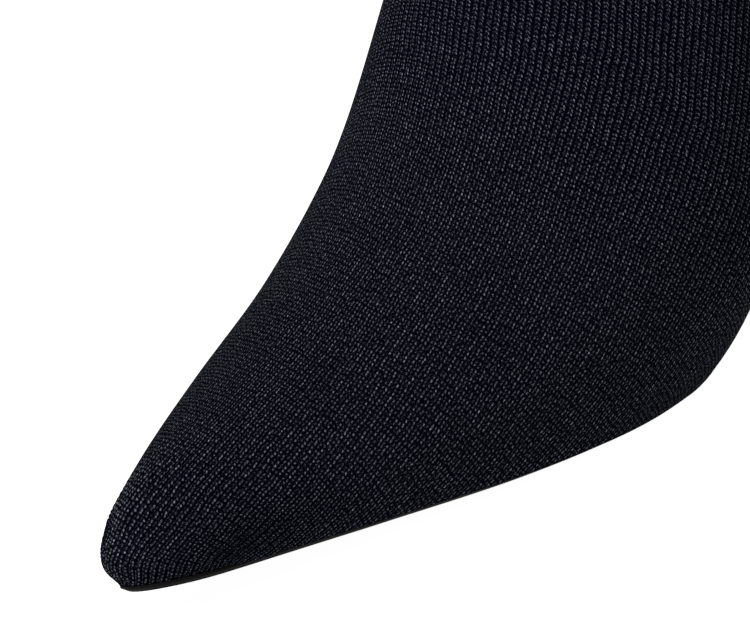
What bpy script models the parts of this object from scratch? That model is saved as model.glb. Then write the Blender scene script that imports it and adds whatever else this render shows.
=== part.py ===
"""Thigh-high knitted pull-on boot for a left foot: pointed toe, thin sole, high block heel.

Frame: +X from heel to toe, +Y to the outer side, +Z up, metres. The origin is
on the ground, under the middle of the boot's bounding box. The shape is worked
out in millimetres from the heel's back edge and scaled at the end.
"""
import math
from collections import namedtuple

import bmesh
import bpy
import numpy as np

MM = 0.001
BOOT_NAME = "thigh_high_boot"

# Sole profile, seen from the side
LENGTH = 250.0            # heel back to toe tip
HEEL_SEAT = 88.5          # top of the outsole at the heel back
SEAT_END = 51.5           # where the heel seat becomes the shank
SEAT_SLOPE = -0.22        # slope at the heel back
SHANK_SLOPE = -0.50       # slope where the shank starts
TREAD_BACK = 148.5        # rear of the flat tread under the ball
TREAD_FRONT = 167.0       # front of the flat tread
TOE_SPRING = 5.4          # rise of the toe tip above the tread
SPRING_CURVE = 1.5        # above 1 lets the rise start softly

# Sole outline, seen from above
TOE_RADIUS = 9.0          # length of the rounded toe tip
HEEL_RADIUS = 26.0        # length of the rounded heel end

# Material thicknesses
OUTSOLE = 1.0             # thin: the knit comes down nearly to the ground
SOLE_EDGE = 0.4           # upright part of the outsole's edge
SOLE_CHAMFER = 1.0        # how far the chamfer under that edge runs in
SOLE_BEVEL = 2.2          # how much further it runs in at the waist, where the edge is skived thin
INSOLE = 1.6
INSOLE_INSET = 3.0        # from the outsole's edge to the insole's
WALL = 1.8                # knitted wall of the upper
GAP = 0.3                 # between neighbouring pieces

# Collar hem: a thicker band at the top of the wall
HEM_DEPTH = 24.0
HEM_STEP = 0.8
HEM_RISE = 1.2            # height over which the wall steps out

# Heel block and its rubber top lift
BREAST = 46.0             # front face of the heel under the seat
LIFT = 5.0
TIP_BACK = 4.0
TIP_FRONT = 38.0
TIP_EDGE = 20.0           # where the tip's rounded back starts
TIP_HALF = 17.0
HEEL_FLARE = 1.7          # above 1 keeps the block slim until it nears the seat

# Resolution
HALF_COLUMNS = 17         # columns from feather edge to ridge on one side
PROFILE_STEPS = 48
SOLE_ROWS = 38
SOLE_COLUMNS = 8
HEEL_ROWS = 9
HEEL_LEVELS = 6

Outline = namedtuple("Outline", "share half lean")
OUTLINE = [
    # share of length from the heel, half width, shift of the centre line to the outer side
    Outline(0.00, 25.0, 0.0),
    Outline(0.10, 25.5, 0.0),
    Outline(0.22, 21.0, 0.6),
    Outline(0.34, 16.9, 1.2),
    Outline(0.46, 23.6, 1.0),
    Outline(0.58, 29.4, 0.3),
    Outline(0.66, 33.4, -0.4),
    Outline(0.76, 29.7, -0.6),
    Outline(0.86, 19.4, -0.5),
    Outline(0.94, 12.2, -0.6),
    Outline(1.00, 8.4, -0.8),
]

# One row for each section of the last and leg. A section is a plane from its back
# point, on the sole or down the back of the leg, to its ridge point on the instep or shin.
# back_z None: the back point lies on the sole. widest: share of the way from back to ridge
# where the section is widest. crown: 2 is an ellipse, less is a sharper ridge.
# steps: rings from the row before.
Section = namedtuple("Section", "name back_x back_z ridge_x ridge_z half widest crown lean steps")
TOE_TIP = OUTSOLE + TOE_SPRING
SECTIONS = [
    Section("toe_edge", LENGTH - TOE_RADIUS, None, LENGTH, TOE_TIP, 0.0, 0.00, 2.00, -0.8, 0),
    Section("toe_nose", 238.0, None, 251.0, TOE_TIP + 5.1, 11.6, 0.38, 2.15, -1.0, 2),
    Section("toe_front", 232.0, None, 246.0, TOE_TIP + 11.6, 14.5, 0.34, 1.74, -1.1, 2),
    Section("toe", 220.0, None, 230.0, TOE_TIP + 18.0, 19.4, 0.32, 1.97, -0.8, 2),
    Section("toe_box", 198.0, None, 206.0, 32.4, 28.6, 0.32, 1.87, -1.1, 3),
    Section("vamp", 172.0, None, 177.0, 42.6, 36.6, 0.30, 1.87, -1.0, 3),
    Section("ball", 146.0, None, 152.0, 57.0, 40.5, 0.30, 1.87, -1.2, 3),
    Section("waist", 118.0, None, 130.0, 77.0, 40.5, 0.34, 1.87, -1.3, 3),
    Section("instep", 90.0, None, 110.0, 102.8, 35.7, 0.38, 1.90, -0.2, 3),
    Section("breast", 62.0, None, 94.0, 132.0, 33.1, 0.40, 1.95, 0.0, 3),
    Section("seat", 33.0, None, 85.0, 158.0, 32.1, 0.42, 2.00, 0.0, 3),
    Section("heel_edge", 0.0, None, 80.0, 182.0, 31.6, 0.46, 2.00, 0.0, 5),
    Section("counter", -3.0, 117.5, 77.5, 200.0, 31.6, 0.50, 2.00, 0.0, 3),
    Section("ankle", 6.0, 161.5, 77.0, 218.0, 31.1, 0.50, 2.00, 0.0, 3),
    Section("low_shaft", 9.0, 199.5, 78.0, 240.0, 31.1, 0.50, 2.00, 0.0, 2),
    Section("shin", 6.0, 243.0, 81.0, 272.0, 34.0, 0.50, 2.00, 0.0, 2),
    Section("calf_low", -3.0, 302.0, 86.0, 320.0, 42.0, 0.50, 2.00, 0.0, 2),
    Section("calf", -12.0, 368.0, 91.0, 378.0, 49.0, 0.50, 2.00, 0.0, 2),
    Section("calf_top", -12.0, 432.0, 94.0, 437.0, 50.5, 0.50, 2.00, 0.0, 2),
    Section("knee", -8.0, 510.0, 96.0, 512.0, 49.5, 0.50, 2.00, 0.0, 2),
    Section("thigh", -12.0, 594.0, 101.0, 594.0, 54.0, 0.50, 2.00, 0.0, 2),
    Section("collar", -19.0, 690.0, 107.0, 690.0, 60.0, 0.50, 2.00, 0.0, 2),
]
HEEL_ROW = [row.name for row in SECTIONS].index("heel_edge")

Finish = namedtuple("Finish", "color roughness")
FINISHES = {
    "knit_upper": Finish((0.010, 0.011, 0.016), 0.80),
    "insole": Finish((0.030, 0.028, 0.027), 0.75),
    "outsole": Finish((0.012, 0.011, 0.011), 0.50),
    "heel": Finish((0.011, 0.011, 0.013), 0.40),
    "top_lift": Finish((0.014, 0.014, 0.014), 0.60),
}


def hermite(x, x0, z0, slope0, x1, z1, slope1):
    """Cubic between two points with a slope at each."""
    run = x1 - x0
    t = (x - x0) / run
    return ((1 + 2 * t) * (1 - t) ** 2 * z0 + t * (1 - t) ** 2 * run * slope0
            + t * t * (3 - 2 * t) * z1 + t * t * (t - 1) * run * slope1)


def smooth_rows(table, t, corner=None):
    """Smooth curve through the rows of a table, read at row positions t, with a stop at a corner row."""
    table = np.asarray(table, float)
    step = np.diff(table, axis=0)
    tangent = np.vstack([step[:1], 0.5 * (step[:-1] + step[1:]), step[-1:]])
    if corner is not None:
        tangent[corner] = 0.0
    low = np.clip(np.floor(t).astype(int), 0, len(table) - 2)
    f = (t - low)[:, None]
    return ((1 + 2 * f) * (1 - f) ** 2 * table[low] + f * (1 - f) ** 2 * tangent[low]
            + f * f * (3 - 2 * f) * table[low + 1] + f * f * (f - 1) * tangent[low + 1])


def sole_top(x):
    """Height of the outsole's top face: heel seat, shank, flat tread and toe spring."""
    seat_z = HEEL_SEAT + 0.5 * (SEAT_SLOPE + SHANK_SLOPE) * SEAT_END
    seat = hermite(x, 0.0, HEEL_SEAT, SEAT_SLOPE, SEAT_END, seat_z, SHANK_SLOPE)
    shank = hermite(x, SEAT_END, seat_z, SHANK_SLOPE, TREAD_BACK, OUTSOLE, 0.0)
    rise = np.clip(x - TREAD_FRONT, 0, None) / (LENGTH - TREAD_FRONT)
    spring = OUTSOLE + TOE_SPRING * rise ** SPRING_CURVE
    return np.where(x < SEAT_END, seat, np.where(x < TREAD_BACK, shank, spring))


def on_sole(x, y, height):
    """Points at a height above the outsole's top face, measured square to it."""
    slope = sole_top(x + 0.5) - sole_top(x - 0.5)
    rise = height / np.sqrt(1 + slope ** 2)
    return np.stack([x - slope * rise, y, sole_top(x) + rise], axis=2)


def outline(x):
    """Half width and centre shift of the sole at x, before its ends are rounded."""
    share = np.clip(np.atleast_1d(x) / LENGTH, 0, 1)
    place = np.interp(share, [row.share for row in OUTLINE], np.arange(len(OUTLINE)))
    half, lean = smooth_rows([(row.half, row.lean) for row in OUTLINE], place).T
    return half, lean


def underside(x):
    """Half width and centre shift of the sole's lower face, inside its skived edge."""
    half, lean = outline(x)
    return half - SOLE_BEVEL * np.sin(math.pi * x / LENGTH), lean


def feather(x):
    """Half width and centre shift of the feather edge, with the rounded heel end."""
    half, lean = outline(x)
    to_back = np.clip(1 - np.atleast_1d(x) / HEEL_RADIUS, 0, 1)
    return half * np.sqrt(1 - to_back ** 2), lean


def toe_taper(x):
    """Narrowing of the rounded toe tip, so that its sides run on from the outline."""
    start = LENGTH - TOE_RADIUS
    return np.where(x > start, outline(x)[0] / outline(start)[0], 1.0)


def side_profile(half, edge, widest, crown, reach):
    """One side of a section, from feather edge to ridge, in even steps: across and along."""
    start = math.asin(min(edge / half, 0.99999))
    low = np.linspace(start, math.pi / 2, PROFILE_STEPS)
    high = np.linspace(0, math.pi / 2, PROFILE_STEPS)[1:]
    across = np.concatenate([half * np.sin(low), half * np.cos(high) ** (2 / crown)])
    along = np.concatenate([widest * (1 - np.cos(low) / math.cos(start)),
                            widest + (1 - widest) * np.sin(high) ** (2 / crown)])
    run = np.concatenate([[0], np.cumsum(np.hypot(np.diff(across), np.diff(along) * reach))])
    even = np.linspace(0, run[-1], HALF_COLUMNS + 1)
    return np.interp(even, run, across), np.interp(even, run, along)


def ring(t, swell=0.0):
    """Points of the upper's section at row position t, outer side first, over the ridge."""
    backs = [(row.back_x, HEEL_SEAT + GAP if row.back_z is None else row.back_z) for row in SECTIONS]
    shapes = [(row.ridge_x, row.ridge_z, row.half or feather(row.back_x)[0][0], row.widest, row.crown, row.lean)
              for row in SECTIONS]
    back_x, back_z = smooth_rows(backs, np.array([t]), HEEL_ROW)[0]
    ridge_x, ridge_z, half, widest, crown, lean = smooth_rows(shapes, np.array([t]))[0]
    edge, edge_lean = 0.0, 0.0
    if t <= HEEL_ROW:
        back_x = max(back_x, 0.0)
        back_z = float(sole_top(back_x)) + GAP
        edge, edge_lean = (float(value[0]) for value in feather(back_x))
    half = max(half + swell, edge)
    back_x, ridge_x = back_x - swell, ridge_x + swell
    reach = math.hypot(ridge_x - back_x, ridge_z - back_z)
    across, along = side_profile(half, edge, max(widest, 1e-4), crown, reach)
    across = np.concatenate([across, -across[-2::-1]])
    along = np.concatenate([along, along[-2::-1]])
    x = back_x + along * (ridge_x - back_x)
    y = across * toe_taper(x) + edge_lean + along * (lean - edge_lean)
    return np.column_stack([x, y, back_z + along * (ridge_z - back_z)])


def ring_places():
    """Row position and swell of every ring."""
    places = [(0.0, 0.0)]
    for i, row in enumerate(SECTIONS[1:]):
        share = np.arange(1, row.steps + 1) / row.steps
        places += [(i + float(s), 0.0) for s in share]
    last = len(SECTIONS) - 1
    per_mm = 1 / (SECTIONS[-1].ridge_z - SECTIONS[-2].ridge_z)
    hem = last - HEM_DEPTH * per_mm
    return places[:-1] + [(hem, 0.0), (hem + HEM_RISE * per_mm, HEM_STEP), (last, HEM_STEP)]


def plan_grid(front, back, half_at, rows, columns, inset=0.0):
    """Grid over a plan outline with rounded ends. front and back: edge x and centre x of the end rows."""
    share = np.linspace(0, 1, rows + 1)[:, None]
    ease = (1 - np.cos(math.pi * share)) / 2
    share = 0.5 * share + 0.5 * ease
    edge_x = front[0] + share * (back[0] - front[0])
    end_inset = np.array([np.sign(front[1] - front[0]), np.sign(back[1] - back[0])]) * inset
    centre_front, centre_back = front[1] - end_inset[0], back[1] - end_inset[1]
    centre_x = centre_front + share * (centre_back - centre_front)
    v = np.sin(np.linspace(1, -1, columns + 1) * math.pi / 2)[None, :]
    x = edge_x + (centre_x - edge_x) * np.sqrt(1 - v ** 2)
    half, lean = half_at(edge_x.ravel())
    y = lean[:, None] + v * (half - inset)[:, None]
    return x, y


def sole_grid(height, inset=0.0, half_at=outline):
    """Grid over the sole's outline at a height above the outsole's top face."""
    x, y = plan_grid((LENGTH - TOE_RADIUS, LENGTH), (HEEL_RADIUS, 0.0), half_at, SOLE_ROWS, SOLE_COLUMNS, inset)
    _, lean = outline(x.ravel())
    lean = lean.reshape(x.shape)
    y = lean + (y - lean) * toe_taper(x.ravel()).reshape(x.shape)
    return on_sole(x, y, height)


def rim(grid):
    """Outer loop of a grid, once round."""
    return np.concatenate([grid[0, :-1], grid[:-1, -1], grid[-1, :0:-1], grid[:0:-1, 0]])


def finish(name, bm, collection):
    """Make a named object with its material from a bmesh."""
    mesh = bpy.data.meshes.new(name)
    bm.to_mesh(mesh)
    bm.free()
    mesh.shade_smooth()
    material = bpy.data.materials.new(name)
    material.use_nodes = True
    shader = material.node_tree.nodes["Principled BSDF"]
    shader.inputs["Base Color"].default_value = (*FINISHES[name].color, 1.0)
    shader.inputs["Roughness"].default_value = FINISHES[name].roughness
    shader.inputs["Metallic"].default_value = 0.0
    mesh.materials.append(material)
    part = bpy.data.objects.new(name, mesh)
    collection.objects.link(part)
    return part


def add_points(bm, points):
    """Vertices of a grid of points, in metres."""
    flat = [bm.verts.new(point) for point in points.reshape(-1, 3) * MM]
    return np.array(flat, dtype=object).reshape(points.shape[:-1])


def add_quads(bm, verts):
    """Faces between the rows of a grid of vertices."""
    for row, after in zip(verts[:-1], verts[1:]):
        for a, b, c, d in zip(row[:-1], after[:-1], after[1:], row[1:]):
            bm.faces.new((a, b, c, d))


def sheet(name, grid, thickness, collection):
    """Even layer: an open surface thickened away from the side its faces point to."""
    bm = bmesh.new()
    add_quads(bm, add_points(bm, grid))
    bmesh.ops.remove_doubles(bm, verts=bm.verts, dist=0.01 * MM)
    part = finish(name, bm, collection)
    shell = part.modifiers.new("thickness", "SOLIDIFY")
    shell.thickness = thickness * MM
    shell.offset = -1.0
    shell.use_rim = True
    part.data.set_sharp_from_angle(angle=math.radians(40))
    return part


def block(name, top, loops, bottom, collection):
    """Solid between a top and a bottom grid, through the loops that run round its side."""
    bm = bmesh.new()
    upper = add_points(bm, top)
    lower = add_points(bm, bottom)
    add_quads(bm, upper)
    add_quads(bm, lower[:, ::-1])
    rings = [rim(upper)] + [add_points(bm, loop) for loop in loops] + [rim(lower)]
    add_quads(bm, np.array([np.append(loop, loop[0]) for loop in rings], dtype=object))
    bmesh.ops.recalc_face_normals(bm, faces=bm.faces)
    part = finish(name, bm, collection)
    part.data.set_sharp_from_angle(angle=math.radians(40))
    return part


def tip_grid(height):
    """Grid over the heel's tip at a height above the ground."""
    x, y = plan_grid((TIP_FRONT, TIP_FRONT), (TIP_EDGE, TIP_BACK),
                     lambda edge: (np.full(edge.shape, TIP_HALF), np.zeros(edge.shape)),
                     HEEL_ROWS, SOLE_COLUMNS)
    return np.stack([x, y, np.full(x.shape, height)], axis=2)


def make_upper(collection):
    """Hollow knitted upper, toe to collar, open at the collar and under the foot."""
    rings = np.array([ring(t, swell) for t, swell in ring_places()])
    sheet("knit_upper", rings, WALL, collection)


def make_outsole(collection):
    """Thin sole, toe to heel back, with an upright edge and a skived chamfer under it."""
    edge = rim(sole_grid(-SOLE_EDGE))
    bottom = sole_grid(-OUTSOLE, SOLE_CHAMFER, underside)
    block("outsole", sole_grid(0.0), [edge], bottom, collection)


def make_insole(collection):
    """Sock lining that lies on the outsole inside the upper's wall."""
    sheet("insole", sole_grid(GAP + INSOLE, INSOLE_INSET), INSOLE, collection)


def make_heel(collection):
    """Block heel: follows the seat above, tapers to the tip below."""
    x, y = plan_grid((BREAST, BREAST), (HEEL_RADIUS, 0.0), underside, HEEL_ROWS, SOLE_COLUMNS, SOLE_CHAMFER)
    seat = on_sole(x, y, -OUTSOLE - GAP)
    tip = tip_grid(LIFT + GAP)
    loops = []
    for level in np.arange(HEEL_LEVELS - 1, 0, -1) / HEEL_LEVELS:
        loop = rim(tip) + level ** HEEL_FLARE * (rim(seat) - rim(tip))
        loop[:, 2] = rim(tip)[:, 2] + level * (rim(seat) - rim(tip))[:, 2]
        loops.append(loop)
    block("heel", seat, loops, tip, collection)


def make_top_lift(collection):
    """Rubber tip that the heel stands on."""
    sheet("top_lift", tip_grid(LIFT), LIFT, collection)


def centre_on_ground(collection):
    """Move the pieces so that the origin is under the middle of their bounding box."""
    points = np.array([vert.co for part in collection.objects for vert in part.data.vertices])
    middle = 0.5 * (points.min(axis=0) + points.max(axis=0))
    for part in collection.objects:
        for vert in part.data.vertices:
            vert.co.x -= middle[0]
            vert.co.y -= middle[1]


def main():
    for old in list(bpy.data.objects):
        bpy.data.objects.remove(old)
    collection = bpy.data.collections.new(BOOT_NAME)
    bpy.context.scene.collection.children.link(collection)
    make_upper(collection)
    make_outsole(collection)
    make_insole(collection)
    make_heel(collection)
    make_top_lift(collection)
    centre_on_ground(collection)


main()
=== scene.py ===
# %% [markdown]
# # A thigh-high knitted boot
# The imported boot is the fixed frame of this lesson: five plain solids at their real size and place.
# Each solid is dressed with a finer piece of the same form, which then stands for it. The box of the
# plain boot is kept, so that the dressed boot can be measured against it.

# %% Load the imported boot
import math

import bmesh
import bpy
import numpy as np
from mathutils import Matrix, Vector


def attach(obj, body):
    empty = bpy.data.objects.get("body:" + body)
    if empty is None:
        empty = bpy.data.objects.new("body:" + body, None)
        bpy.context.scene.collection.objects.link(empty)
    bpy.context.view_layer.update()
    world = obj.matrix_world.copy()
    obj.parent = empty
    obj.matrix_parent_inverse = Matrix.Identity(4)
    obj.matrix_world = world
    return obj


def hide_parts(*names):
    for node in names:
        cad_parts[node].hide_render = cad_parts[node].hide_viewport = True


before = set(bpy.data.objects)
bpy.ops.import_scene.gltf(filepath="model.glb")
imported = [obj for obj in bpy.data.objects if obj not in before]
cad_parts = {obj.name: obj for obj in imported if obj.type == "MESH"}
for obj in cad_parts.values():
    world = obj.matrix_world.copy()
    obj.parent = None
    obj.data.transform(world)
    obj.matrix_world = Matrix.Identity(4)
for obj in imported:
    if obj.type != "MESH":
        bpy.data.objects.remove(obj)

scene = bpy.context.scene
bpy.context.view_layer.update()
print("nodes:", sorted(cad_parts))

# %% [markdown]
# ## The camera
# The picture is a close view of toe and vamp, taken with a long lens from the front of the outer side, a
# little above the ground, with the camera rolled. A camera can be tracked to an empty, or turned by hand.
# Here its three directions are written as a matrix, because a roll is then one more turn and nothing else.

# %% Aim a long lens at the vamp
AIM = Vector((0.0670, 0.0017, 0.0288))     # the point of the vamp in the middle of the picture
AZIMUTH = math.radians(131.22)
ELEVATION = math.radians(9.22)
ROLL = math.radians(-16.50)
DISTANCE = 1.5
SENSOR = 36.0
PICTURE_WIDTH = 0.11755                    # metres across the picture at the aim
VIEW_DEPTH = 100.0

back = Vector((math.sin(AZIMUTH) * math.cos(ELEVATION), -math.cos(AZIMUTH) * math.cos(ELEVATION),
               math.sin(ELEVATION)))
level = Vector((math.cos(AZIMUTH), math.sin(AZIMUTH), 0.0))
right = Matrix.Rotation(ROLL, 3, back) @ level
up = back.cross(right)

camera = bpy.data.objects.new("camera", bpy.data.cameras.new("camera"))
camera.data.sensor_width = SENSOR
camera.data.lens = SENSOR * DISTANCE / PICTURE_WIDTH
camera.data.clip_end = VIEW_DEPTH
camera.matrix_world = (Matrix.Translation(AIM + back * DISTANCE)
                       @ Matrix((right, up, back)).transposed().to_4x4())
scene.collection.objects.link(camera)
scene.camera = camera
print("lens:", round(camera.data.lens, 1), "mm")

# %% [markdown]
# ## The floor
# Catalogue pictures of dark shoes are taken on a white table that is lit from below, so that hardly any
# shadow is left. The floor here glows for the same reason. A floor that glows white would also pour light
# up under the boot and wash out the knit, so the Light Path node shows the camera a strong glow and gives
# the boot a weaker one.

# %% Lay the floor
FLOOR_SIZE = 60.0
FLOOR_WHITE = 0.60
FLOOR_GLOW = 0.98          # as the camera sees it
FLOOR_BOUNCE = 0.30        # as it lights the boot
FLOOR_ROUGHNESS = 0.9
FLOOR_GLOSS = 0.1
WHITE = (1.0, 1.0, 1.0, 1.0)


def new_material(name):
    """Material with its node tree and its Principled shader."""
    material = bpy.data.materials.new(name)
    material.use_nodes = True
    return material, material.node_tree, material.node_tree.nodes["Principled BSDF"]


floor_finish, tree, shader = new_material("white_table")
shader.inputs["Base Color"].default_value = (FLOOR_WHITE, FLOOR_WHITE, FLOOR_WHITE, 1.0)
shader.inputs["Roughness"].default_value = FLOOR_ROUGHNESS
shader.inputs["Specular IOR Level"].default_value = FLOOR_GLOSS
shader.inputs["Emission Color"].default_value = WHITE
seen = tree.nodes.new("ShaderNodeLightPath").outputs["Is Camera Ray"]
glow = tree.nodes.new("ShaderNodeMapRange")
tree.links.new(seen, glow.inputs["Value"])
glow.inputs["To Min"].default_value = FLOOR_BOUNCE
glow.inputs["To Max"].default_value = FLOOR_GLOW
tree.links.new(glow.outputs["Result"], shader.inputs["Emission Strength"])

bpy.ops.mesh.primitive_plane_add(size=FLOOR_SIZE)
floor = bpy.context.object
floor.name = "floor"
floor.data.materials.append(floor_finish)
print("floor:", FLOOR_SIZE, "m wide")

# %% [markdown]
# ## The lights
# One large soft light from the camera's left gives the knit its relief, and a weaker one fills the other
# side. Both are placed from the aim along the view's own directions, so that they can be read as a
# photographer would set them: so far across, so far up, so far towards the camera.

# %% Hang the lights
LIGHTS = [
    # name, across the view, above the aim, towards the camera and size in metres, power in watts
    ("key_light", -1.2, 1.3, 1.1, 0.8, 28.0),
    ("fill_light", 1.6, 0.5, 0.8, 1.4, 1.2),
]
ROOM_LIGHT = 0.12


def soft_light(name, across, above, towards, size, power):
    """Square softbox placed from the aim and turned to it."""
    lamp = bpy.data.objects.new(name, bpy.data.lights.new(name, "AREA"))
    lamp.data.size = size
    lamp.data.energy = power
    lamp.location = AIM + level * across + Vector((0.0, 0.0, above)) + back * towards
    lamp.rotation_euler = (lamp.location - AIM).to_track_quat("Z", "Y").to_euler()
    lamp.visible_camera = False
    scene.collection.objects.link(lamp)


for row in LIGHTS:
    soft_light(*row)
scene.world = bpy.data.worlds.new("studio")
scene.world.use_nodes = True
room = scene.world.node_tree.nodes["Background"]
room.inputs["Color"].default_value = WHITE
room.inputs["Strength"].default_value = ROOM_LIGHT
scene.view_settings.view_transform = "Standard"

# %% [markdown]
# ## The sole's line
# Seen from the side a high-heeled sole is a seat that slopes gently, a steep shank, a flat tread under the
# ball and a small rise at the toe. Cubic curves with a slope given at each end join these without a kink.
# All sizes are millimetres from the back of the heel; they are turned into metres when a mesh is made.

# %% Side profile of the sole
MM = 0.001
LENGTH = 250.0
HEEL_SEAT = 88.5
SEAT_END = 51.5
SEAT_SLOPE = -0.22
SHANK_SLOPE = -0.50
TREAD_BACK = 148.5
TREAD_FRONT = 167.0
TOE_SPRING = 5.4
SPRING_CURVE = 1.5
OUTSOLE = 1.0


def hermite(x, x0, z0, slope0, x1, z1, slope1):
    """Cubic between two points with a slope at each."""
    run = x1 - x0
    t = (x - x0) / run
    return ((1 + 2 * t) * (1 - t) ** 2 * z0 + t * (1 - t) ** 2 * run * slope0
            + t * t * (3 - 2 * t) * z1 + t * t * (t - 1) * run * slope1)


def sole_top(x):
    """Height of the outsole's top face: heel seat, shank, flat tread and toe spring."""
    seat_z = HEEL_SEAT + 0.5 * (SEAT_SLOPE + SHANK_SLOPE) * SEAT_END
    seat = hermite(x, 0.0, HEEL_SEAT, SEAT_SLOPE, SEAT_END, seat_z, SHANK_SLOPE)
    shank = hermite(x, SEAT_END, seat_z, SHANK_SLOPE, TREAD_BACK, OUTSOLE, 0.0)
    rise = np.clip(x - TREAD_FRONT, 0, None) / (LENGTH - TREAD_FRONT)
    spring = OUTSOLE + TOE_SPRING * rise ** SPRING_CURVE
    return np.where(x < SEAT_END, seat, np.where(x < TREAD_BACK, shank, spring))


def on_sole(x, y, height):
    """Points at a height above the outsole's top face, measured square to it."""
    slope = sole_top(x + 0.5) - sole_top(x - 0.5)
    rise = height / np.sqrt(1 + slope ** 2)
    return np.stack([x - slope * rise, y, sole_top(x) + rise], axis=2)


print("toe tip:", round(float(sole_top(LENGTH)), 1), "mm above the ground")

# %% [markdown]
# ## The sole's outline
# Seen from above the sole is widest at the ball, narrow at the waist, and comes to a small rounded tip.
# A short table of half widths is enough: a smooth curve through its rows draws the rest, and the two ends
# are rounded by formula.

# %% Plan outline of the sole
TOE_RADIUS = 9.0
HEEL_RADIUS = 26.0
OUTLINE = np.array([
    # share of length from the heel, half width, shift of the centre line to the outer side
    (0.00, 25.0, 0.0),
    (0.10, 25.5, 0.0),
    (0.22, 21.0, 0.6),
    (0.34, 16.9, 1.2),
    (0.46, 23.6, 1.0),
    (0.58, 29.4, 0.3),
    (0.66, 33.4, -0.4),
    (0.76, 29.7, -0.6),
    (0.86, 19.4, -0.5),
    (0.94, 12.2, -0.6),
    (1.00, 8.4, -0.8),
])


def smooth_rows(table, t, corner=None):
    """Smooth curve through the rows of a table, read at row positions t, with a stop at a corner row."""
    table = np.asarray(table, float)
    step = np.diff(table, axis=0)
    tangent = np.vstack([step[:1], 0.5 * (step[:-1] + step[1:]), step[-1:]])
    if corner is not None:
        tangent[corner] = 0.0
    low = np.clip(np.floor(t).astype(int), 0, len(table) - 2)
    f = (t - low)[:, None]
    return ((1 + 2 * f) * (1 - f) ** 2 * table[low] + f * (1 - f) ** 2 * tangent[low]
            + f * f * (3 - 2 * f) * table[low + 1] + f * f * (f - 1) * tangent[low + 1])


def outline(x):
    """Half width and centre shift of the sole at x, before its ends are rounded."""
    share = np.clip(np.atleast_1d(x) / LENGTH, 0, 1)
    place = np.interp(share, OUTLINE[:, 0], np.arange(len(OUTLINE)))
    return smooth_rows(OUTLINE[:, 1:], place).T


def feather(x):
    """Half width and centre shift of the edge where the knit meets the sole, with the rounded heel end."""
    half, lean = outline(x)
    to_back = np.clip(1 - np.atleast_1d(x) / HEEL_RADIUS, 0, 1)
    return half * np.sqrt(1 - to_back ** 2), lean


def toe_taper(x):
    """Narrowing of the rounded toe tip, so that its sides run on from the outline."""
    start = LENGTH - TOE_RADIUS
    return np.where(x > start, outline(x)[0] / outline(start)[0], 1.0)


print("ball width:", round(2 * OUTLINE[:, 1].max(), 1), "mm")

# %% [markdown]
# ## Sections of foot and leg
# The knit is stretched over the last like a sock, so its form is a stack of sections from the toe over the
# instep and up the leg. Each section is a fan blade: it starts on the sole, or down the back of the leg,
# and ends on the ridge of the instep or shin. Its sides are an ellipse below the widest place, and a
# slightly sharper curve above it.

# %% Table of sections
TUCK = 0.35                # how far the knit's edge is drawn down over the sole's rim, behind the toe tip
TOE_TIP = OUTSOLE + TOE_SPRING
SECTIONS = [
    # name, back x, back z (None: on the sole), ridge x, ridge z, half width, widest at, crown, lean
    ("toe_edge", LENGTH - TOE_RADIUS, None, LENGTH, TOE_TIP, 0.0, 0.00, 2.00, -0.8),
    ("toe_nose", 238.0, None, 251.0, TOE_TIP + 5.1, 11.6, 0.38, 2.15, -1.0),
    ("toe_front", 232.0, None, 246.0, TOE_TIP + 11.6, 14.5, 0.34, 1.74, -1.1),
    ("toe", 220.0, None, 230.0, TOE_TIP + 18.0, 19.4, 0.32, 1.97, -0.8),
    ("toe_box", 198.0, None, 206.0, 32.4, 28.6, 0.32, 1.87, -1.1),
    ("vamp", 172.0, None, 177.0, 42.6, 36.6, 0.30, 1.87, -1.0),
    ("ball", 146.0, None, 152.0, 57.0, 40.5, 0.30, 1.87, -1.2),
    ("waist", 118.0, None, 130.0, 77.0, 40.5, 0.34, 1.87, -1.3),
    ("instep", 90.0, None, 110.0, 102.8, 35.7, 0.38, 1.90, -0.2),
    ("breast", 62.0, None, 94.0, 132.0, 33.1, 0.40, 1.95, 0.0),
    ("seat", 33.0, None, 85.0, 158.0, 32.1, 0.42, 2.00, 0.0),
    ("heel_edge", 0.0, None, 80.0, 182.0, 31.6, 0.46, 2.00, 0.0),
    ("counter", -3.0, 117.5, 77.5, 200.0, 31.6, 0.50, 2.00, 0.0),
    ("ankle", 6.0, 161.5, 77.0, 218.0, 31.1, 0.50, 2.00, 0.0),
    ("low_shaft", 9.0, 199.5, 78.0, 240.0, 31.1, 0.50, 2.00, 0.0),
    ("shin", 6.0, 243.0, 81.0, 272.0, 34.0, 0.50, 2.00, 0.0),
    ("calf_low", -3.0, 302.0, 86.0, 320.0, 42.0, 0.50, 2.00, 0.0),
    ("calf", -12.0, 368.0, 91.0, 378.0, 49.0, 0.50, 2.00, 0.0),
    ("calf_top", -12.0, 432.0, 94.0, 437.0, 50.5, 0.50, 2.00, 0.0),
    ("knee", -8.0, 510.0, 96.0, 512.0, 49.5, 0.50, 2.00, 0.0),
    ("thigh", -12.0, 594.0, 101.0, 594.0, 54.0, 0.50, 2.00, 0.0),
    ("collar", -19.0, 690.0, 107.0, 690.0, 60.0, 0.50, 2.00, 0.0),
]
SECTION_NAMES = [row[0] for row in SECTIONS]
BREAST_ROW = SECTION_NAMES.index("breast")
HEEL_ROW = SECTION_NAMES.index("heel_edge")
BACKS = [(x, HEEL_SEAT - TUCK if z is None else z) for _, x, z, *_ in SECTIONS]
SHAPES = [(ridge_x, ridge_z, half or float(feather(x)[0][0]), widest, crown, lean)
          for _, x, _, ridge_x, ridge_z, half, widest, crown, lean in SECTIONS]
print("sections:", len(SECTIONS))

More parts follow.
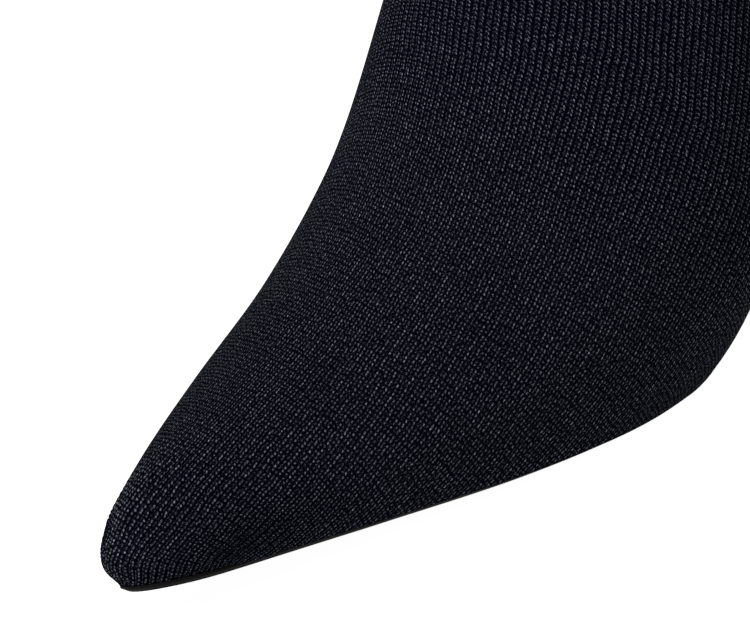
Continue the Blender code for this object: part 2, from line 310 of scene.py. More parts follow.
# %% [markdown]
# ### One section
# A section could be drawn as a curve object, but all the rings need the same number of points, so that they
# can be joined to a sheet. Each side is therefore worked out finely and then read again in even steps. The
# two sides meet on the ridge. A section that starts on the sole has its ends on the sole's edge, drawn down
# a little over the rim, so that no light shows between knit and sole.

# %% One section as a ring of points
HALF_COLUMNS = 80
PROFILE_STEPS = 160
NEARLY_ONE = 0.99999       # keeps a division by a cosine from failing
LEAST_SHARE = 1e-4         # of a section's reach, below its widest place


def side_profile(half, edge, widest, crown, reach):
    """One side of a section, from the sole's edge to the ridge, in even steps: across and along."""
    start = math.asin(min(edge / half, NEARLY_ONE))
    low = np.linspace(start, math.pi / 2, PROFILE_STEPS)
    high = np.linspace(0, math.pi / 2, PROFILE_STEPS)[1:]
    across = np.concatenate([half * np.sin(low), half * np.cos(high) ** (2 / crown)])
    along = np.concatenate([widest * (1 - np.cos(low) / math.cos(start)),
                            widest + (1 - widest) * np.sin(high) ** (2 / crown)])
    run = np.concatenate([[0], np.cumsum(np.hypot(np.diff(across), np.diff(along) * reach))])
    even = np.linspace(0, run[-1], HALF_COLUMNS + 1)
    return np.interp(even, run, across), np.interp(even, run, along)


def ring(t, swell=0.0):
    """Points of the knit's section at row position t, outer side first, over the ridge."""
    back_x, back_z = smooth_rows(BACKS, np.array([t]), HEEL_ROW)[0]
    ridge_x, ridge_z, half, widest, crown, lean = smooth_rows(SHAPES, np.array([t]))[0]
    edge, edge_lean = 0.0, 0.0
    if t <= HEEL_ROW:
        back_x = max(back_x, 0.0)
        back_z = float(sole_top(back_x)) - TUCK * min(t, 1.0)
        edge, edge_lean = (float(value[0]) for value in feather(back_x))
    half = max(half + swell, edge)
    back_x, ridge_x = back_x - swell, ridge_x + swell
    reach = math.hypot(ridge_x - back_x, ridge_z - back_z)
    across, along = side_profile(half, edge, max(widest, LEAST_SHARE), crown, reach)
    across = np.concatenate([across, -across[-2::-1]])
    along = np.concatenate([along, along[-2::-1]])
    x = back_x + along * (ridge_x - back_x)
    y = across * toe_taper(x) + edge_lean + along * (lean - edge_lean)
    return np.column_stack([x, y, back_z + along * (ridge_z - back_z)])


narrowest = ring(float(SECTION_NAMES.index("low_shaft")))
print("girth above the ankle:", round(float(np.linalg.norm(np.diff(narrowest, axis=0), axis=1).sum())), "mm")

# %% [markdown]
# ## The knitted upper
# Rings close together give the smooth outline that stretched knit has. The sheet of rings is the outer
# face, and a Solidify modifier gives it the wall of a sock. The last rings step out for the folded hem at
# the collar. The places of the rings follow the sections, with more of them where the picture looks closely.

# %% Sheet of rings from toe to collar
FOOT_RINGS = 16            # rings from one section to the next, up to the ankle
LEG_RINGS = 7              # the same, up the leg
LEG_ROW = HEEL_ROW + 2
HEM_DEPTH = 24.0
HEM_STEP = 0.8
HEM_RISE = 1.2
HEM_RINGS = 8


def ring_places():
    """Row position and swell of every ring."""
    last = len(SECTIONS) - 1
    per_mm = 1 / (SECTIONS[-1][4] - SECTIONS[-2][4])
    hem = last - HEM_DEPTH * per_mm
    foot = np.linspace(0, LEG_ROW, LEG_ROW * FOOT_RINGS + 1)
    leg = np.linspace(LEG_ROW, hem, (last - LEG_ROW) * LEG_RINGS)[1:]
    step = np.linspace(0, 1, HEM_RINGS)[1:]
    rise = [(hem + HEM_RISE * per_mm * s, HEM_STEP * math.sin(0.5 * math.pi * s)) for s in step]
    band = [(t, HEM_STEP) for t in np.linspace(rise[-1][0], last, HEM_RINGS)[1:]]
    return [(t, 0.0) for t in np.concatenate([foot, leg])] + rise + band


rings = np.array([ring(t, swell) for t, swell in ring_places()])
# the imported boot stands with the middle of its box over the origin
origin = 0.5 * (rings.reshape(-1, 3).min(axis=0) + rings.reshape(-1, 3).max(axis=0)) * (1, 1, 0)
print("rings:", len(rings), "points in each:", rings.shape[1])

# %% [markdown]
# ### Distances on the sheet
# A jersey knit is rows of loops, called courses, crossed by columns of loops, called wales. To count them,
# two distances are measured over the sheet: from the ridge to the outer side, and from the toe along the
# foot and leg. Round the heel the fan of sections swings, and its blades slide along themselves. Only
# the step square to a ring counts there.

# %% Measure the sheet
TINY = 1e-9                # keeps a division from failing


def running_sum(values, gaps):
    """Sum of a value along the rings, from the toe."""
    return np.concatenate([[0], np.cumsum(0.5 * (values[1:] + values[:-1]) * gaps)])


breast_ring, heel_ring = BREAST_ROW * FOOT_RINGS, HEEL_ROW * FOOT_RINGS
steps = np.linalg.norm(np.diff(rings, axis=1), axis=2)
around = np.concatenate([np.zeros((len(rings), 1)), np.cumsum(steps, axis=1)], axis=1)
girth = around[:, -1]
to_outer = around[:, [HALF_COLUMNS]] - around

to_next = np.diff(rings, axis=0)
ring_gap = np.linalg.norm(to_next, axis=2).mean(axis=1)
ring_way = np.gradient(rings, axis=1)[:-1]
ring_way /= np.linalg.norm(ring_way, axis=2, keepdims=True).clip(TINY)
square = to_next - (to_next * ring_way).sum(axis=2, keepdims=True) * ring_way
ring_gap[breast_ring:] = np.linalg.norm(square, axis=2).mean(axis=1)[breast_ring:]
from_toe = running_sum(np.ones(len(rings)), ring_gap)
print("from toe to collar:", round(float(from_toe[-1])), "mm")

# %% [markdown]
# ### The wales
# The wales follow the ridge of the foot and run off under the sole at the sides, so a wale is counted by its
# distance from the ridge. At the toe the tube was closed on the slant, and the wales lean over to the outer
# side. Up the leg the tube keeps its number of wales and is only stretched.

# %% Count the wales
FLOW = np.array([
    # distance from the toe tip, width of a wale, height of a course,
    # step of a wale to the outer side for each step along the foot
    (0.0, 1.42, 0.77, 1.00),
    (6.0, 1.40, 0.77, 0.80),
    (10.0, 1.38, 0.77, 0.30),
    (14.0, 1.37, 0.77, 0.13),
    (40.0, 1.31, 0.88, 0.05),
    (60.0, 1.30, 0.88, -0.09),
    (100.0, 1.38, 0.82, -0.17),
    (125.0, 1.51, 0.73, -0.20),
    (200.0, 1.45, 0.75, 0.00),
])

wale_width, course_height, lean = (np.interp(from_toe, FLOW[:, 0], column) for column in FLOW[:, 1:].T)
tube_wales = round(float(girth[heel_ring] / wale_width[heel_ring]))
wale_width *= girth[heel_ring] / tube_wales / wale_width[heel_ring]
wale_width[heel_ring:] = girth[heel_ring:] / tube_wales
wales = (to_outer - running_sum(lean, ring_gap)[:, None]) / wale_width[:, None]
print("wales in the tube:", tube_wales)

# %% [markdown]
# ### The courses
# The courses bow, because the knit is pulled over the foot from one side. The bow is one wave round the
# ring, so that the courses of a closed tube meet at the back, and it dies out up the leg. From the breast to
# the heel the rings are open to the sole and their girth changes fast, so the length of the wave is read
# across that stretch from the steadier rings on both sides of it.

# %% Count the courses
BOW_SLOPE = 0.55
BOW_MIDDLE = 27.0          # from the ridge to the line where a course lies square to the wales
BOW_END = 100.0            # how far past the heel the bow has died out

steady = np.r_[0:breast_ring, heel_ring:len(rings)]
period = np.interp(from_toe, from_toe[steady], girth[steady])
turn = 2 * math.pi / np.maximum(period, girth[heel_ring] / 2)[:, None]
calm = np.interp(from_toe, [from_toe[breast_ring], from_toe[heel_ring] + BOW_END], [1.0, 0.0])[:, None]
bow = BOW_SLOPE * calm / turn * (1 - np.cos(turn * (to_outer - BOW_MIDDLE)))
course_count = running_sum(1 / course_height, ring_gap)
courses = np.interp(from_toe[:, None] - bow, from_toe, course_count)
courses += np.minimum(from_toe[:, None] - bow, 0) / course_height[0]
print("courses from toe to collar:", round(course_count[-1]))

# %% [markdown]
# ### Cords at the toe
# At the toe the wales stand up as small cords. The grooves between them are cut into the sheet by the wale
# count, and only inwards, so that the boot doesn't grow. They fade out towards the vamp, where the knit
# is pulled flat and the stitches are relief enough, and towards the sole's edge, where the wall behind the
# sheet has no room for them.

# %% Cut the grooves between the cords
CORD_DEPTH = 0.45
CORD_FADE = (12.0, 30.0)   # distances from the toe tip
EDGE_FADE = 5.0            # from the sole's edge at the sides

outward = np.cross(np.gradient(rings, axis=0), np.gradient(rings, axis=1))
outward /= np.linalg.norm(outward, axis=2, keepdims=True).clip(TINY)
to_edge = np.minimum(around, girth[:, None] - around)
fade = np.interp(from_toe, CORD_FADE, (1.0, 0.0))[:, None] * np.clip(to_edge / EDGE_FADE, 0, 1)
cords = -0.5 * (1 + np.cos(2 * math.pi * wales)) * CORD_DEPTH * fade
rings = rings + outward * cords[:, :, None]
print("grooves between the cords up to mm:", round(float(-cords.min()), 2))

# %% [markdown]
# ### The upper's mesh
# The sheet could be grown by extruding a ring again and again. From arrays it is one call: the points row
# by row, and the numbers of the four corners of each face. Both stitch counts are written to a UV map, so
# that the finish follows them wherever the sheet bends. Points that lie on each other are joined, and the
# Solidify modifier then gives the wall, inwards from the sheet.

# %% Make the upper's mesh
WALL = 1.8
WELD_GAP = 0.01
STITCH_MAP = "stitch_rows"


def grid_faces(rows, columns):
    """Corner numbers of the faces of a grid of points."""
    first = (np.arange(rows - 1)[:, None] * columns + np.arange(columns - 1)).ravel()
    return np.column_stack([first, first + columns, first + columns + 1, first + 1])


def new_piece(name, points, faces):
    """Object with a smooth mesh, from points in millimetres from the heel's back."""
    mesh = bpy.data.meshes.new(name)
    mesh.from_pydata((points.reshape(-1, 3) - origin) * MM, [], faces.tolist())
    mesh.shade_smooth()
    piece = bpy.data.objects.new(name, mesh)
    scene.collection.objects.link(piece)
    return piece


def weld(piece):
    """Join the points of a mesh that lie on each other."""
    bm = bmesh.new()
    bm.from_mesh(piece.data)
    bmesh.ops.remove_doubles(bm, verts=bm.verts, dist=WELD_GAP * MM)
    bm.to_mesh(piece.data)
    bm.free()


knit = new_piece("knit_sock", rings, grid_faces(*rings.shape[:2]))
stitch_uv = np.stack([wales, courses], axis=2).reshape(-1, 2)
corner_point = np.empty(len(knit.data.loops), np.int32)
knit.data.loops.foreach_get("vertex_index", corner_point)
uv_map = knit.data.uv_layers.new(name=STITCH_MAP)
uv_map.uv.foreach_set("vector", stitch_uv[corner_point].astype(np.float32).ravel())
weld(knit)
shell = knit.modifiers.new("wall", "SOLIDIFY")
shell.thickness = WALL * MM
shell.offset = -1.0
shell.material_offset = 1
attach(knit, "root")
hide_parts("knit_upper")
print("faces of the outer wall:", len(knit.data.polygons))

# %% [markdown]
# ### Tools for finishes
# A finish is a tree of nodes. Written out, each node takes several lines, which hide the thought behind it.
# A few helpers that make a node and hand back its output let a finish be read like a sum.

# %% Helpers for node trees
FLOAT = "NodeSocketFloat"
VECTOR = "NodeSocketVector"


def feed(tree, socket, value):
    """Link a socket to another one, or set it to a number."""
    if isinstance(value, bpy.types.NodeSocket):
        tree.links.new(value, socket)
    else:
        socket.default_value = value


def calc(tree, operation, *values):
    """Math node on sockets or numbers, as its output."""
    node = tree.nodes.new("ShaderNodeMath")
    node.operation = operation
    for socket, value in zip(node.inputs, values):
        feed(tree, socket, value)
    return node.outputs[0]


def soft_range(tree, value, start, end, low, high):
    """Smooth step from one value to another."""
    node = tree.nodes.new("ShaderNodeMapRange")
    node.interpolation_type = "SMOOTHSTEP"
    for socket, given_value in zip(node.inputs, (value, start, end, low, high)):
        feed(tree, socket, given_value)
    return node.outputs["Result"]


def vector(tree, *values):
    """Vector from up to three sockets or numbers."""
    node = tree.nodes.new("ShaderNodeCombineXYZ")
    for socket, value in zip(node.inputs, values):
        feed(tree, socket, value)
    return node.outputs["Vector"]


def noise(tree, place, scale, detail):
    """Noise from 0 to 1 at a place."""
    node = tree.nodes.new("ShaderNodeTexNoise")
    for label, value in (("Vector", place), ("Scale", scale), ("Detail", detail)):
        feed(tree, node.inputs[label], value)
    return node.outputs["Fac"]


def two_colors(tree, share, low, high):
    """Mix of two colours, through the colour sockets of a Mix node."""
    mix = tree.nodes.new("ShaderNodeMix")
    mix.data_type = "RGBA"
    mix.clamp_factor = False
    tree.links.new(share, mix.inputs["Factor"])
    mix.inputs[6].default_value = (*low, 1.0)
    mix.inputs[7].default_value = (*high, 1.0)
    return mix.outputs[2]


def raise_surface(tree, shader, height, depth):
    """Bump on a shader from a height, with its depth in metres."""
    bump = tree.nodes.new("ShaderNodeBump")
    bump.inputs["Distance"].default_value = depth
    tree.links.new(height, bump.inputs["Height"])
    tree.links.new(bump.outputs["Normal"], shader.inputs["Normal"])


def new_group(name, inputs, outputs):
    """Empty shader group with named inputs (kind, default) and outputs."""
    group = bpy.data.node_groups.new(name, "ShaderNodeTree")
    for label, (kind, default) in inputs.items():
        socket = group.interface.new_socket(label, in_out="INPUT", socket_type=kind)
        if default is not None:
            socket.default_value = default
    for label in outputs:
        group.interface.new_socket(label, in_out="OUTPUT", socket_type=FLOAT)
    return group, group.nodes.new("NodeGroupInput").outputs, group.nodes.new("NodeGroupOutput").inputs


def place_group(tree, group):
    """Node that places a group in a material."""
    node = tree.nodes.new("ShaderNodeGroup")
    node.node_tree = group
    return node


print("helpers for math, ranges, noise, colours, bump and groups")

# %% [markdown]
# ### How the knit is pulled
# Pulled flat over the foot the stitches are seen as rows of small dots. From the instep up the knit is
# looser, and the legs of a loop lean together as arches with a groove beside them, whose shade is painted
# dark into the colour. At the toe the shade between the cords is painted the same way. The count of the
# courses tells where on the boot a stitch lies, so one group turns it into the form of the stitch and the
# strength of the painted groove shade, for the face and the inside alike.

# %% Group for the pull of the knit
PULLED_ROWS = (100.0, 155.0)   # courses over which the knit changes from pulled flat to relaxed
STITCH_ENDS = {
    # pulled flat on the foot, relaxed up the leg
    "Slant": (0.5, 1.1),
    "Spread": (0.245, 0.16),
    "Width": (0.18, 0.23),
    "Length": (0.52, 0.36),
}
# painted shade: how dark the groove beside the wale is made in the colour up the leg, and between the cords
# at the toe
LEG_GROOVE_SHADE = 0.40
TOE_GROOVE_SHADE = 0.40
TOE_ROWS = (10.0, 45.0)        # courses over which the painted shade between the toe's cords fades out
PULL_VALUES = [*STITCH_ENDS, "Groove Shade"]

knit_pull, given, result = new_group("knit_pull", {"Rows": (VECTOR, None)}, PULL_VALUES)
split = knit_pull.nodes.new("ShaderNodeSeparateXYZ")
knit_pull.links.new(given["Rows"], split.inputs[0])
for label, ends in STITCH_ENDS.items():
    knit_pull.links.new(soft_range(knit_pull, split.outputs["Y"], *PULLED_ROWS, *ends), result[label])
leg_groove_shade = soft_range(knit_pull, split.outputs["Y"], *PULLED_ROWS, 0.0, LEG_GROOVE_SHADE)
toe_groove_shade = soft_range(knit_pull, split.outputs["Y"], *TOE_ROWS, TOE_GROOVE_SHADE, 0.0)
knit_pull.links.new(calc(knit_pull, "ADD", leg_groove_shade, toe_groove_shade), result["Groove Shade"])
print("group:", knit_pull.name, "puts out", PULL_VALUES)

# %% [markdown]
# ### The stitch
# Each loop of jersey shows two legs. Loops of real yarn would take millions of faces, so the legs are worked
# out from the two counts: the share of a wale gives the leg, and the course moved along by the leg's
# slant gives the place on it. A slow noise lets the rows wander, because no knit keeps them quite straight,
# and each leg gets chances of its own for its place and brightness.

# %% Group for the knit's loops: find the leg
WALE_WANDER = (0.09, 3.0)      # scale and detail of the noise
COURSE_WANDER = (0.55, 2.0)
stitches, given, result = new_group(
    "jersey_stitches",
    {"Rows": (VECTOR, None), "Place": (VECTOR, None), "Slant": (FLOAT, 0.5), "Spread": (FLOAT, 0.22),
     "Width": (FLOAT, 0.18), "Length": (FLOAT, 0.45), "Groove Shade": (FLOAT, 0.0), "Unevenness": (FLOAT, 0.7)},
    ["Height", "Tone"])


def loop_math(operation, *values):
    """Math node in the stitch group."""
    return calc(stitches, operation, *values)


split = stitches.nodes.new("ShaderNodeSeparateXYZ")
stitches.links.new(given["Rows"], split.inputs[0])
sway = loop_math("SUBTRACT", noise(stitches, given["Rows"], *WALE_WANDER), 0.5)
drift = loop_math("SUBTRACT", noise(stitches, given["Rows"], *COURSE_WANDER), 0.5)
wale = loop_math("MULTIPLY_ADD", sway, given["Unevenness"], split.outputs["X"])
course = loop_math("MULTIPLY_ADD", drift, given["Unevenness"], split.outputs["Y"])

column = loop_math("FLOOR", wale)
place = loop_math("SUBTRACT", loop_math("SUBTRACT", wale, column), 0.5)
aside, leg = loop_math("ABSOLUTE", place), loop_math("SIGN", place)
lifted = loop_math("MULTIPLY_ADD", aside, given["Slant"], course)
row = loop_math("FLOOR", lifted)
own = stitches.nodes.new("ShaderNodeTexWhiteNoise")
stitches.links.new(vector(stitches, column, row, leg), own.inputs["Vector"])
chance = stitches.nodes.new("ShaderNodeSeparateXYZ")
stitches.links.new(own.outputs["Color"], chance.inputs[0])
print("group:", stitches.name, "nodes so far:", len(stitches.nodes))

# %% [markdown]
# A leg is a small rounded pad, and its height is the relief. Its tone is built as the eye sees it, with
# light and shade painted in: the legs, with a painted highlight at their middles that falls to shade at
# their rims, plus a haze of loose fibres, less the painted shade in the groove beside the wale. At the end
# it is squared, because a shader counts light, and what looks half as bright has about a quarter of the
# light.

# %% Group for the knit's loops: relief and tone
LEG_SHIFT = 0.12               # range of a leg's place across the wale, by chance
LEG_MIDDLE = (0.40, 0.30)      # chance and least share of the course at a leg's middle
LEG_RIM = 0.95                 # where a pad comes down to the ground
PAINTED_GLINT = (6.0, 0.20)            # painted glints: power that makes bright legs rare, and how much brighter they are
BRIGHTNESS = (0.36, 0.82)      # chance and least brightness of a leg
PAINTED_SIDE_LIGHT = 0.20              # painted light and shade: how much lighter one leg of a loop is made, and how much darker the other
LEG_TONE = 0.60
FIBRES = (5.5, 3.3)            # bunches of fibre in a wale and in a course
FIBRE_DETAIL = 2.0
HAZE = (2.2, -1.11)            # gain and level of the fibres
GROOVE_SIDES = (0.34, 0.50)    # from the middle of the wale
EYE_POWER = 2.0
PATCHES = (60.0, 3.0)          # scale and detail of the slow change of tone over the boot
PATCH_TONE = (0.4, 0.8)        # chance and least tone of a patch

shift = loop_math("SUBTRACT", chance.outputs["X"], 0.5)
middle = loop_math("MULTIPLY_ADD", shift, LEG_SHIFT, given["Spread"])
across = loop_math("DIVIDE", loop_math("SUBTRACT", aside, middle), given["Width"])
centre = loop_math("MULTIPLY_ADD", chance.outputs["Y"], *LEG_MIDDLE)
along = loop_math("SUBTRACT", loop_math("SUBTRACT", lifted, row), centre)
along = loop_math("DIVIDE", along, given["Length"])
far = loop_math("MULTIPLY_ADD", across, across, loop_math("MULTIPLY", along, along))
relief = soft_range(stitches, far, LEG_RIM, 0.0, 0.0, 1.0)

# painted glints: a few legs are made much brighter in the colour, as if they caught the light
painted_glint = loop_math("POWER", chance.outputs["Z"], PAINTED_GLINT[0])
bright = loop_math("MULTIPLY_ADD", chance.outputs["Z"], *BRIGHTNESS)
bright = loop_math("MULTIPLY_ADD", painted_glint, PAINTED_GLINT[1], bright)
# painted light and shade: one leg of each loop is lighter, as if it faced the light, and the other darker, as
# if it leaned away
painted_leg_light = loop_math("MULTIPLY_ADD", leg, PAINTED_SIDE_LIGHT, 1.0)
# painted highlight and shade: each leg is brightest at its middle and darkens towards its rim, in the colour
legs = loop_math("MULTIPLY", relief, loop_math("MULTIPLY", bright, painted_leg_light))
fibre_place = vector(stitches, loop_math("MULTIPLY", wale, FIBRES[0]),
                     loop_math("MULTIPLY", course, FIBRES[1]))
haze = loop_math("MULTIPLY_ADD", noise(stitches, fibre_place, 1.0, FIBRE_DETAIL), *HAZE)
# painted shade: the colour is darkened in the groove beside the wale
groove = soft_range(stitches, aside, *GROOVE_SIDES, 0.0, 1.0)
haze = loop_math("SUBTRACT", haze, loop_math("MULTIPLY", groove, given["Groove Shade"]))
seen_tone = loop_math("MAXIMUM", loop_math("MULTIPLY_ADD", legs, LEG_TONE, haze), 0.0)
patch = loop_math("MULTIPLY_ADD", noise(stitches, given["Place"], *PATCHES), *PATCH_TONE)
stitches.links.new(relief, result["Height"])
stitches.links.new(loop_math("MULTIPLY", loop_math("POWER", seen_tone, EYE_POWER), patch), result["Tone"])
print("group:", stitches.name, "nodes:", len(stitches.nodes))

# %% [markdown]
# ### The knit's finish
# The yarn is black with a navy cast. Hardly any light comes back from between the legs of the stitches,
# and that shade is painted into the colour: the gaps are painted nearly black, and the tops of the legs
# carry the yarn's colour. Matt yarn has next to no gloss, so the specular level is very low. The inside of
# the boot is the same knit, darker and with less relief.

# %% Black knit, face and inside
KNIT_ROUGHNESS = (0.90, 0.65)  # in the gaps, on the legs
KNIT_GLOSS = 0.01
KNIT_FINISHES = [
    # name, painted shade colour of the gaps, colour of the yarn, depth of the relief in metres
    ("black_knit", (0.0003, 0.0008, 0.0055), (0.268, 0.279, 0.340), 0.00030),
    ("knit_inside", (0.0010, 0.0010, 0.0014), (0.090, 0.092, 0.110), 0.00020),
]


def knit_finish(name, gap_shade_color, yarn_color, depth):
    """Knit material, with the painted shade colour of the gaps, the colour of the yarn, and the depth of the
    relief in metres.
    """
    material, tree, shader = new_material(name)
    rows = tree.nodes.new("ShaderNodeUVMap")
    rows.uv_map = STITCH_MAP
    pull, loops = place_group(tree, knit_pull), place_group(tree, stitches)
    for group in (pull, loops):
        tree.links.new(rows.outputs["UV"], group.inputs["Rows"])
    for label in PULL_VALUES:
        tree.links.new(pull.outputs[label], loops.inputs[label])
    tree.links.new(tree.nodes.new("ShaderNodeTexCoord").outputs["Object"], loops.inputs["Place"])
    # painted shade: the tone mixes the near-black shade of the gaps with the yarn's colour on the legs
    color = two_colors(tree, loops.outputs["Tone"], gap_shade_color, yarn_color)
    tree.links.new(color, shader.inputs["Base Color"])
    roughness = soft_range(tree, loops.outputs["Height"], 0.0, 1.0, *KNIT_ROUGHNESS)
    tree.links.new(roughness, shader.inputs["Roughness"])
    raise_surface(tree, shader, loops.outputs["Height"], depth)
    shader.inputs["Specular IOR Level"].default_value = KNIT_GLOSS
    return material


for finish in KNIT_FINISHES:
    knit.data.materials.append(knit_finish(*finish))
print("knit finishes:", [m.name for m in knit.data.materials])

# %% [markdown]
# ## Sole, insole, heel and lift
# The outsole is a thin rubber slab with an upright edge and a chamfer under it. The insole is a board
# of a smaller outline that lies on it inside the knit. Both need a face of the sole's outline that follows
# its side profile, so a grid is laid over the outline first, with its end rows bent round toe and heel.

# %% Grids over the sole's outline
SOLE_ROWS = 150
SOLE_COLUMNS = 24
SOLE_BEVEL = 2.2           # how much further the chamfer runs in at the waist


def plan_grid(front, behind, half_at, rows, columns, inset=0.0):
    """Grid over a plan outline with rounded ends. front and behind: edge x and centre x of the end rows."""
    share = np.linspace(0, 1, rows + 1)[:, None]
    ease = (1 - np.cos(math.pi * share)) / 2
    share = 0.5 * share + 0.5 * ease
    edge_x = front[0] + share * (behind[0] - front[0])
    front_x = front[1] - np.sign(front[1] - front[0]) * inset
    behind_x = behind[1] - np.sign(behind[1] - behind[0]) * inset
    centre_x = front_x + share * (behind_x - front_x)
    v = np.sin(np.linspace(1, -1, columns + 1) * math.pi / 2)[None, :]
    x = edge_x + (centre_x - edge_x) * np.sqrt(1 - v ** 2)
    half, lean = half_at(edge_x.ravel())
    return x, lean[:, None] + v * (half - inset)[:, None]


def underside(x):
    """Half width and centre shift of the sole's lower face, inside its skived edge."""
    half, lean = outline(x)
    return half - SOLE_BEVEL * np.sin(math.pi * x / LENGTH), lean


def sole_grid(height, inset=0.0, half_at=outline):
    """Grid over the sole's outline at a height above the outsole's top face."""
    toe_end, heel_end = (LENGTH - TOE_RADIUS, LENGTH), (HEEL_RADIUS, 0.0)
    x, y = plan_grid(toe_end, heel_end, half_at, SOLE_ROWS, SOLE_COLUMNS, inset)
    _, lean = outline(x.ravel())
    lean = lean.reshape(x.shape)
    return on_sole(x, lean + (y - lean) * toe_taper(x.ravel()).reshape(x.shape), height)


sole_face = sole_grid(0.0)
print("rows and columns of the sole's face:", sole_face.shape[:2])

# %% [markdown]
# ### Closing a piece
# Two grids and the loops between their rims make a closed piece, and heel and lift are closed the same way,
# so one function serves for all four. A Bevel modifier softens the edges of heel and lift. On the thin sole
# and insole the points crowd together at toe and heel and leave it no room, so their edges stay sharp.

# %% Outsole and insole
SOLE_EDGE = 0.4
SOLE_CHAMFER = 1.0
INSOLE = 1.6
INSOLE_INSET = 3.0
GAP = 0.3                       # under the insole
EDGE_ANGLE = math.radians(30)   # a sharper turn than this is an edge
BEVEL_STEPS = 3


def rim(grid):
    """Outer loop of a grid, once round."""
    return np.concatenate([grid[0, :-1], grid[:-1, -1], grid[-1, :0:-1], grid[:0:-1, 0]])


def block(name, top, loops, bottom, edge_radius=None):
    """Closed piece between two grids, through the loops round its side. Sharp edges if no radius is given."""
    levels = np.array([rim(top), *loops, rim(bottom)])
    levels = np.concatenate([levels, levels[:, :1]], axis=1)
    parts = [top, levels, bottom[:, ::-1]]
    sizes = [part.shape[0] * part.shape[1] for part in parts]
    starts = np.concatenate([[0], np.cumsum(sizes)])
    faces = np.concatenate([grid_faces(*part.shape[:2]) + start for part, start in zip(parts, starts)])
    piece = new_piece(name, np.concatenate([part.reshape(-1, 3) for part in parts]), faces)
    weld(piece)
    bm = bmesh.new()
    bm.from_mesh(piece.data)
    bmesh.ops.recalc_face_normals(bm, faces=bm.faces)
    bm.to_mesh(piece.data)
    bm.free()
    if edge_radius is None:
        piece.data.set_sharp_from_angle(angle=EDGE_ANGLE)
        return piece
    soft = piece.modifiers.new("soft_edges", "BEVEL")
    soft.width = edge_radius * MM
    soft.segments = BEVEL_STEPS
    soft.limit_method = "ANGLE"
    soft.angle_limit = EDGE_ANGLE
    soft.use_clamp_overlap = True
    return piece


sole_bottom = sole_grid(-OUTSOLE, SOLE_CHAMFER, underside)
outsole = block("sole", sole_face, [rim(sole_grid(-SOLE_EDGE))], sole_bottom)
insole_top = sole_grid(GAP + INSOLE, INSOLE_INSET)
insole = block("sock_lining", insole_top, [], sole_grid(GAP, INSOLE_INSET))
print("outsole faces:", len(outsole.data.polygons), "insole faces:", len(insole.data.polygons))

# %% [markdown]
# ### Heel and lift
# The block heel takes the sole's outline and slope at its top, cut straight at the breast, and ends in a
# smaller outline of the same kind. Loops between the two flare out by a power of the height, so that the
# block stays slim until it nears the seat. The heel reaches a little into the sole and into the lift, so
# that no light shows through the joints.

# %% Heel block and top lift
BREAST = 46.0
LIFT = 5.0
TIP_BACK = 4.0
TIP_FRONT = 38.0
TIP_EDGE = 20.0
TIP_HALF = 17.0
HEEL_FLARE = 1.7
HEEL_ROWS = 28
HEEL_LEVELS = 24
HEEL_ROUNDING = 0.6
LIFT_ROUNDING = 0.5
LAP = 0.1                  # how far the heel reaches into the sole and into the lift


def tip_grid(height):
    """Grid over the heel's tip at a height above the ground."""
    x, y = plan_grid((TIP_FRONT, TIP_FRONT), (TIP_EDGE, TIP_BACK),
                     lambda edge: (np.full(edge.shape, TIP_HALF), np.zeros(edge.shape)),
                     HEEL_ROWS, SOLE_COLUMNS)
    return np.stack([x, y, np.full(x.shape, height)], axis=2)


x, y = plan_grid((BREAST, BREAST), (HEEL_RADIUS, 0.0), underside, HEEL_ROWS, SOLE_COLUMNS, SOLE_CHAMFER)
seat = on_sole(x, y, -OUTSOLE + LAP)
tip = tip_grid(LIFT - LAP)
heel_loops = []
for level_share in np.arange(HEEL_LEVELS - 1, 0, -1) / HEEL_LEVELS:
    loop = rim(tip) + level_share ** HEEL_FLARE * (rim(seat) - rim(tip))
    loop[:, 2] = rim(tip)[:, 2] + level_share * (rim(seat) - rim(tip))[:, 2]
    heel_loops.append(loop)
heel = block("heel_block", seat, heel_loops, tip, HEEL_ROUNDING)
top_lift = block("heel_lift", tip_grid(LIFT), [], tip_grid(0.0), LIFT_ROUNDING)
print("heel faces:", len(heel.data.polygons), "lift faces:", len(top_lift.data.polygons))

# %% [markdown]
# ### Rubber, lining and lacquer
# Sole and lift are black rubber, the heel is lacquered, and the lining is a dark cloth. Each has nearly one
# colour, and gloss and grain tell them apart. A slow noise like a cloud varies colour and gloss a little,
# and a fine noise is the grain. All four finishes use both, so they are one node group.

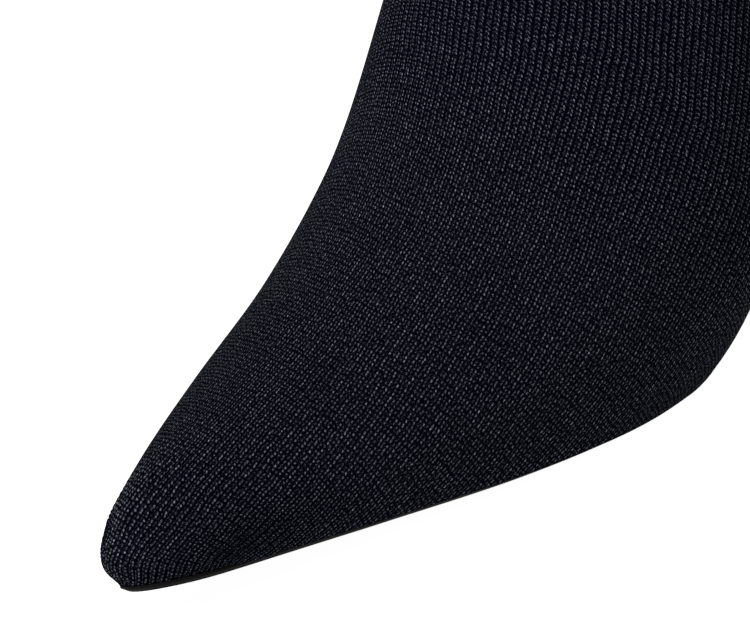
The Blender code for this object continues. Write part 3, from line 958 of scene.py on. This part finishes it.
# %% Finishes of the hard pieces
CLOUD = (90.0, 4.0)        # scale and detail of the noise
CLOUD_MIDDLE = (0.3, 0.7)  # range of the cloud over which the gloss changes
GRAIN_SCALE = 2000.0
GRAIN_DETAIL = 3.0
SHADES = (0.7, 1.3)        # darkest and lightest share of a colour
GLOSS_CHANGE = 0.08
HARD_PIECES = [
    # piece, node, finish, colour, roughness, grain scale, grain depth, specular level
    (outsole, "outsole", "sole_rubber", (0.0050, 0.0040, 0.0036), 0.60, 2500.0, 0.00004, 0.10),
    (insole, "insole", "lining_cloth", (0.022, 0.021, 0.021), 0.85, 1800.0, 0.00008, 0.10),
    (heel, "heel", "heel_lacquer", (0.0040, 0.0040, 0.0050), 0.38, 900.0, 0.00002, 0.22),
    (top_lift, "top_lift", "lift_rubber", (0.012, 0.012, 0.012), 0.65, 2200.0, 0.00006, 0.25),
]

surface_grain, given, result = new_group(
    "cloud_and_grain", {"Place": (VECTOR, None), "Grain Scale": (FLOAT, GRAIN_SCALE)}, ["Cloud", "Grain"])
surface_grain.links.new(noise(surface_grain, given["Place"], *CLOUD), result["Cloud"])
grain = noise(surface_grain, given["Place"], given["Grain Scale"], GRAIN_DETAIL)
surface_grain.links.new(grain, result["Grain"])


def hard_finish(name, color, roughness, grain_scale, grain_depth, specular):
    """Rubber, lacquer or lining: one dark colour with a faint cloud, a fine grain and uneven gloss."""
    material, tree, shader = new_material(name)
    surface = place_group(tree, surface_grain)
    tree.links.new(tree.nodes.new("ShaderNodeTexCoord").outputs["Object"], surface.inputs["Place"])
    surface.inputs["Grain Scale"].default_value = grain_scale
    cloud = surface.outputs["Cloud"]
    dark, light = ([shade * part for part in color] for shade in SHADES)
    tree.links.new(two_colors(tree, cloud, dark, light), shader.inputs["Base Color"])
    gloss = soft_range(tree, cloud, *CLOUD_MIDDLE, roughness - GLOSS_CHANGE, roughness + GLOSS_CHANGE)
    tree.links.new(gloss, shader.inputs["Roughness"])
    raise_surface(tree, shader, surface.outputs["Grain"], grain_depth)
    shader.inputs["Specular IOR Level"].default_value = specular
    return material


for piece, node, *finish in HARD_PIECES:
    piece.data.materials.append(hard_finish(*finish))
    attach(piece, "root")
    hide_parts(node)
print("hard pieces:", [row[0].name for row in HARD_PIECES])
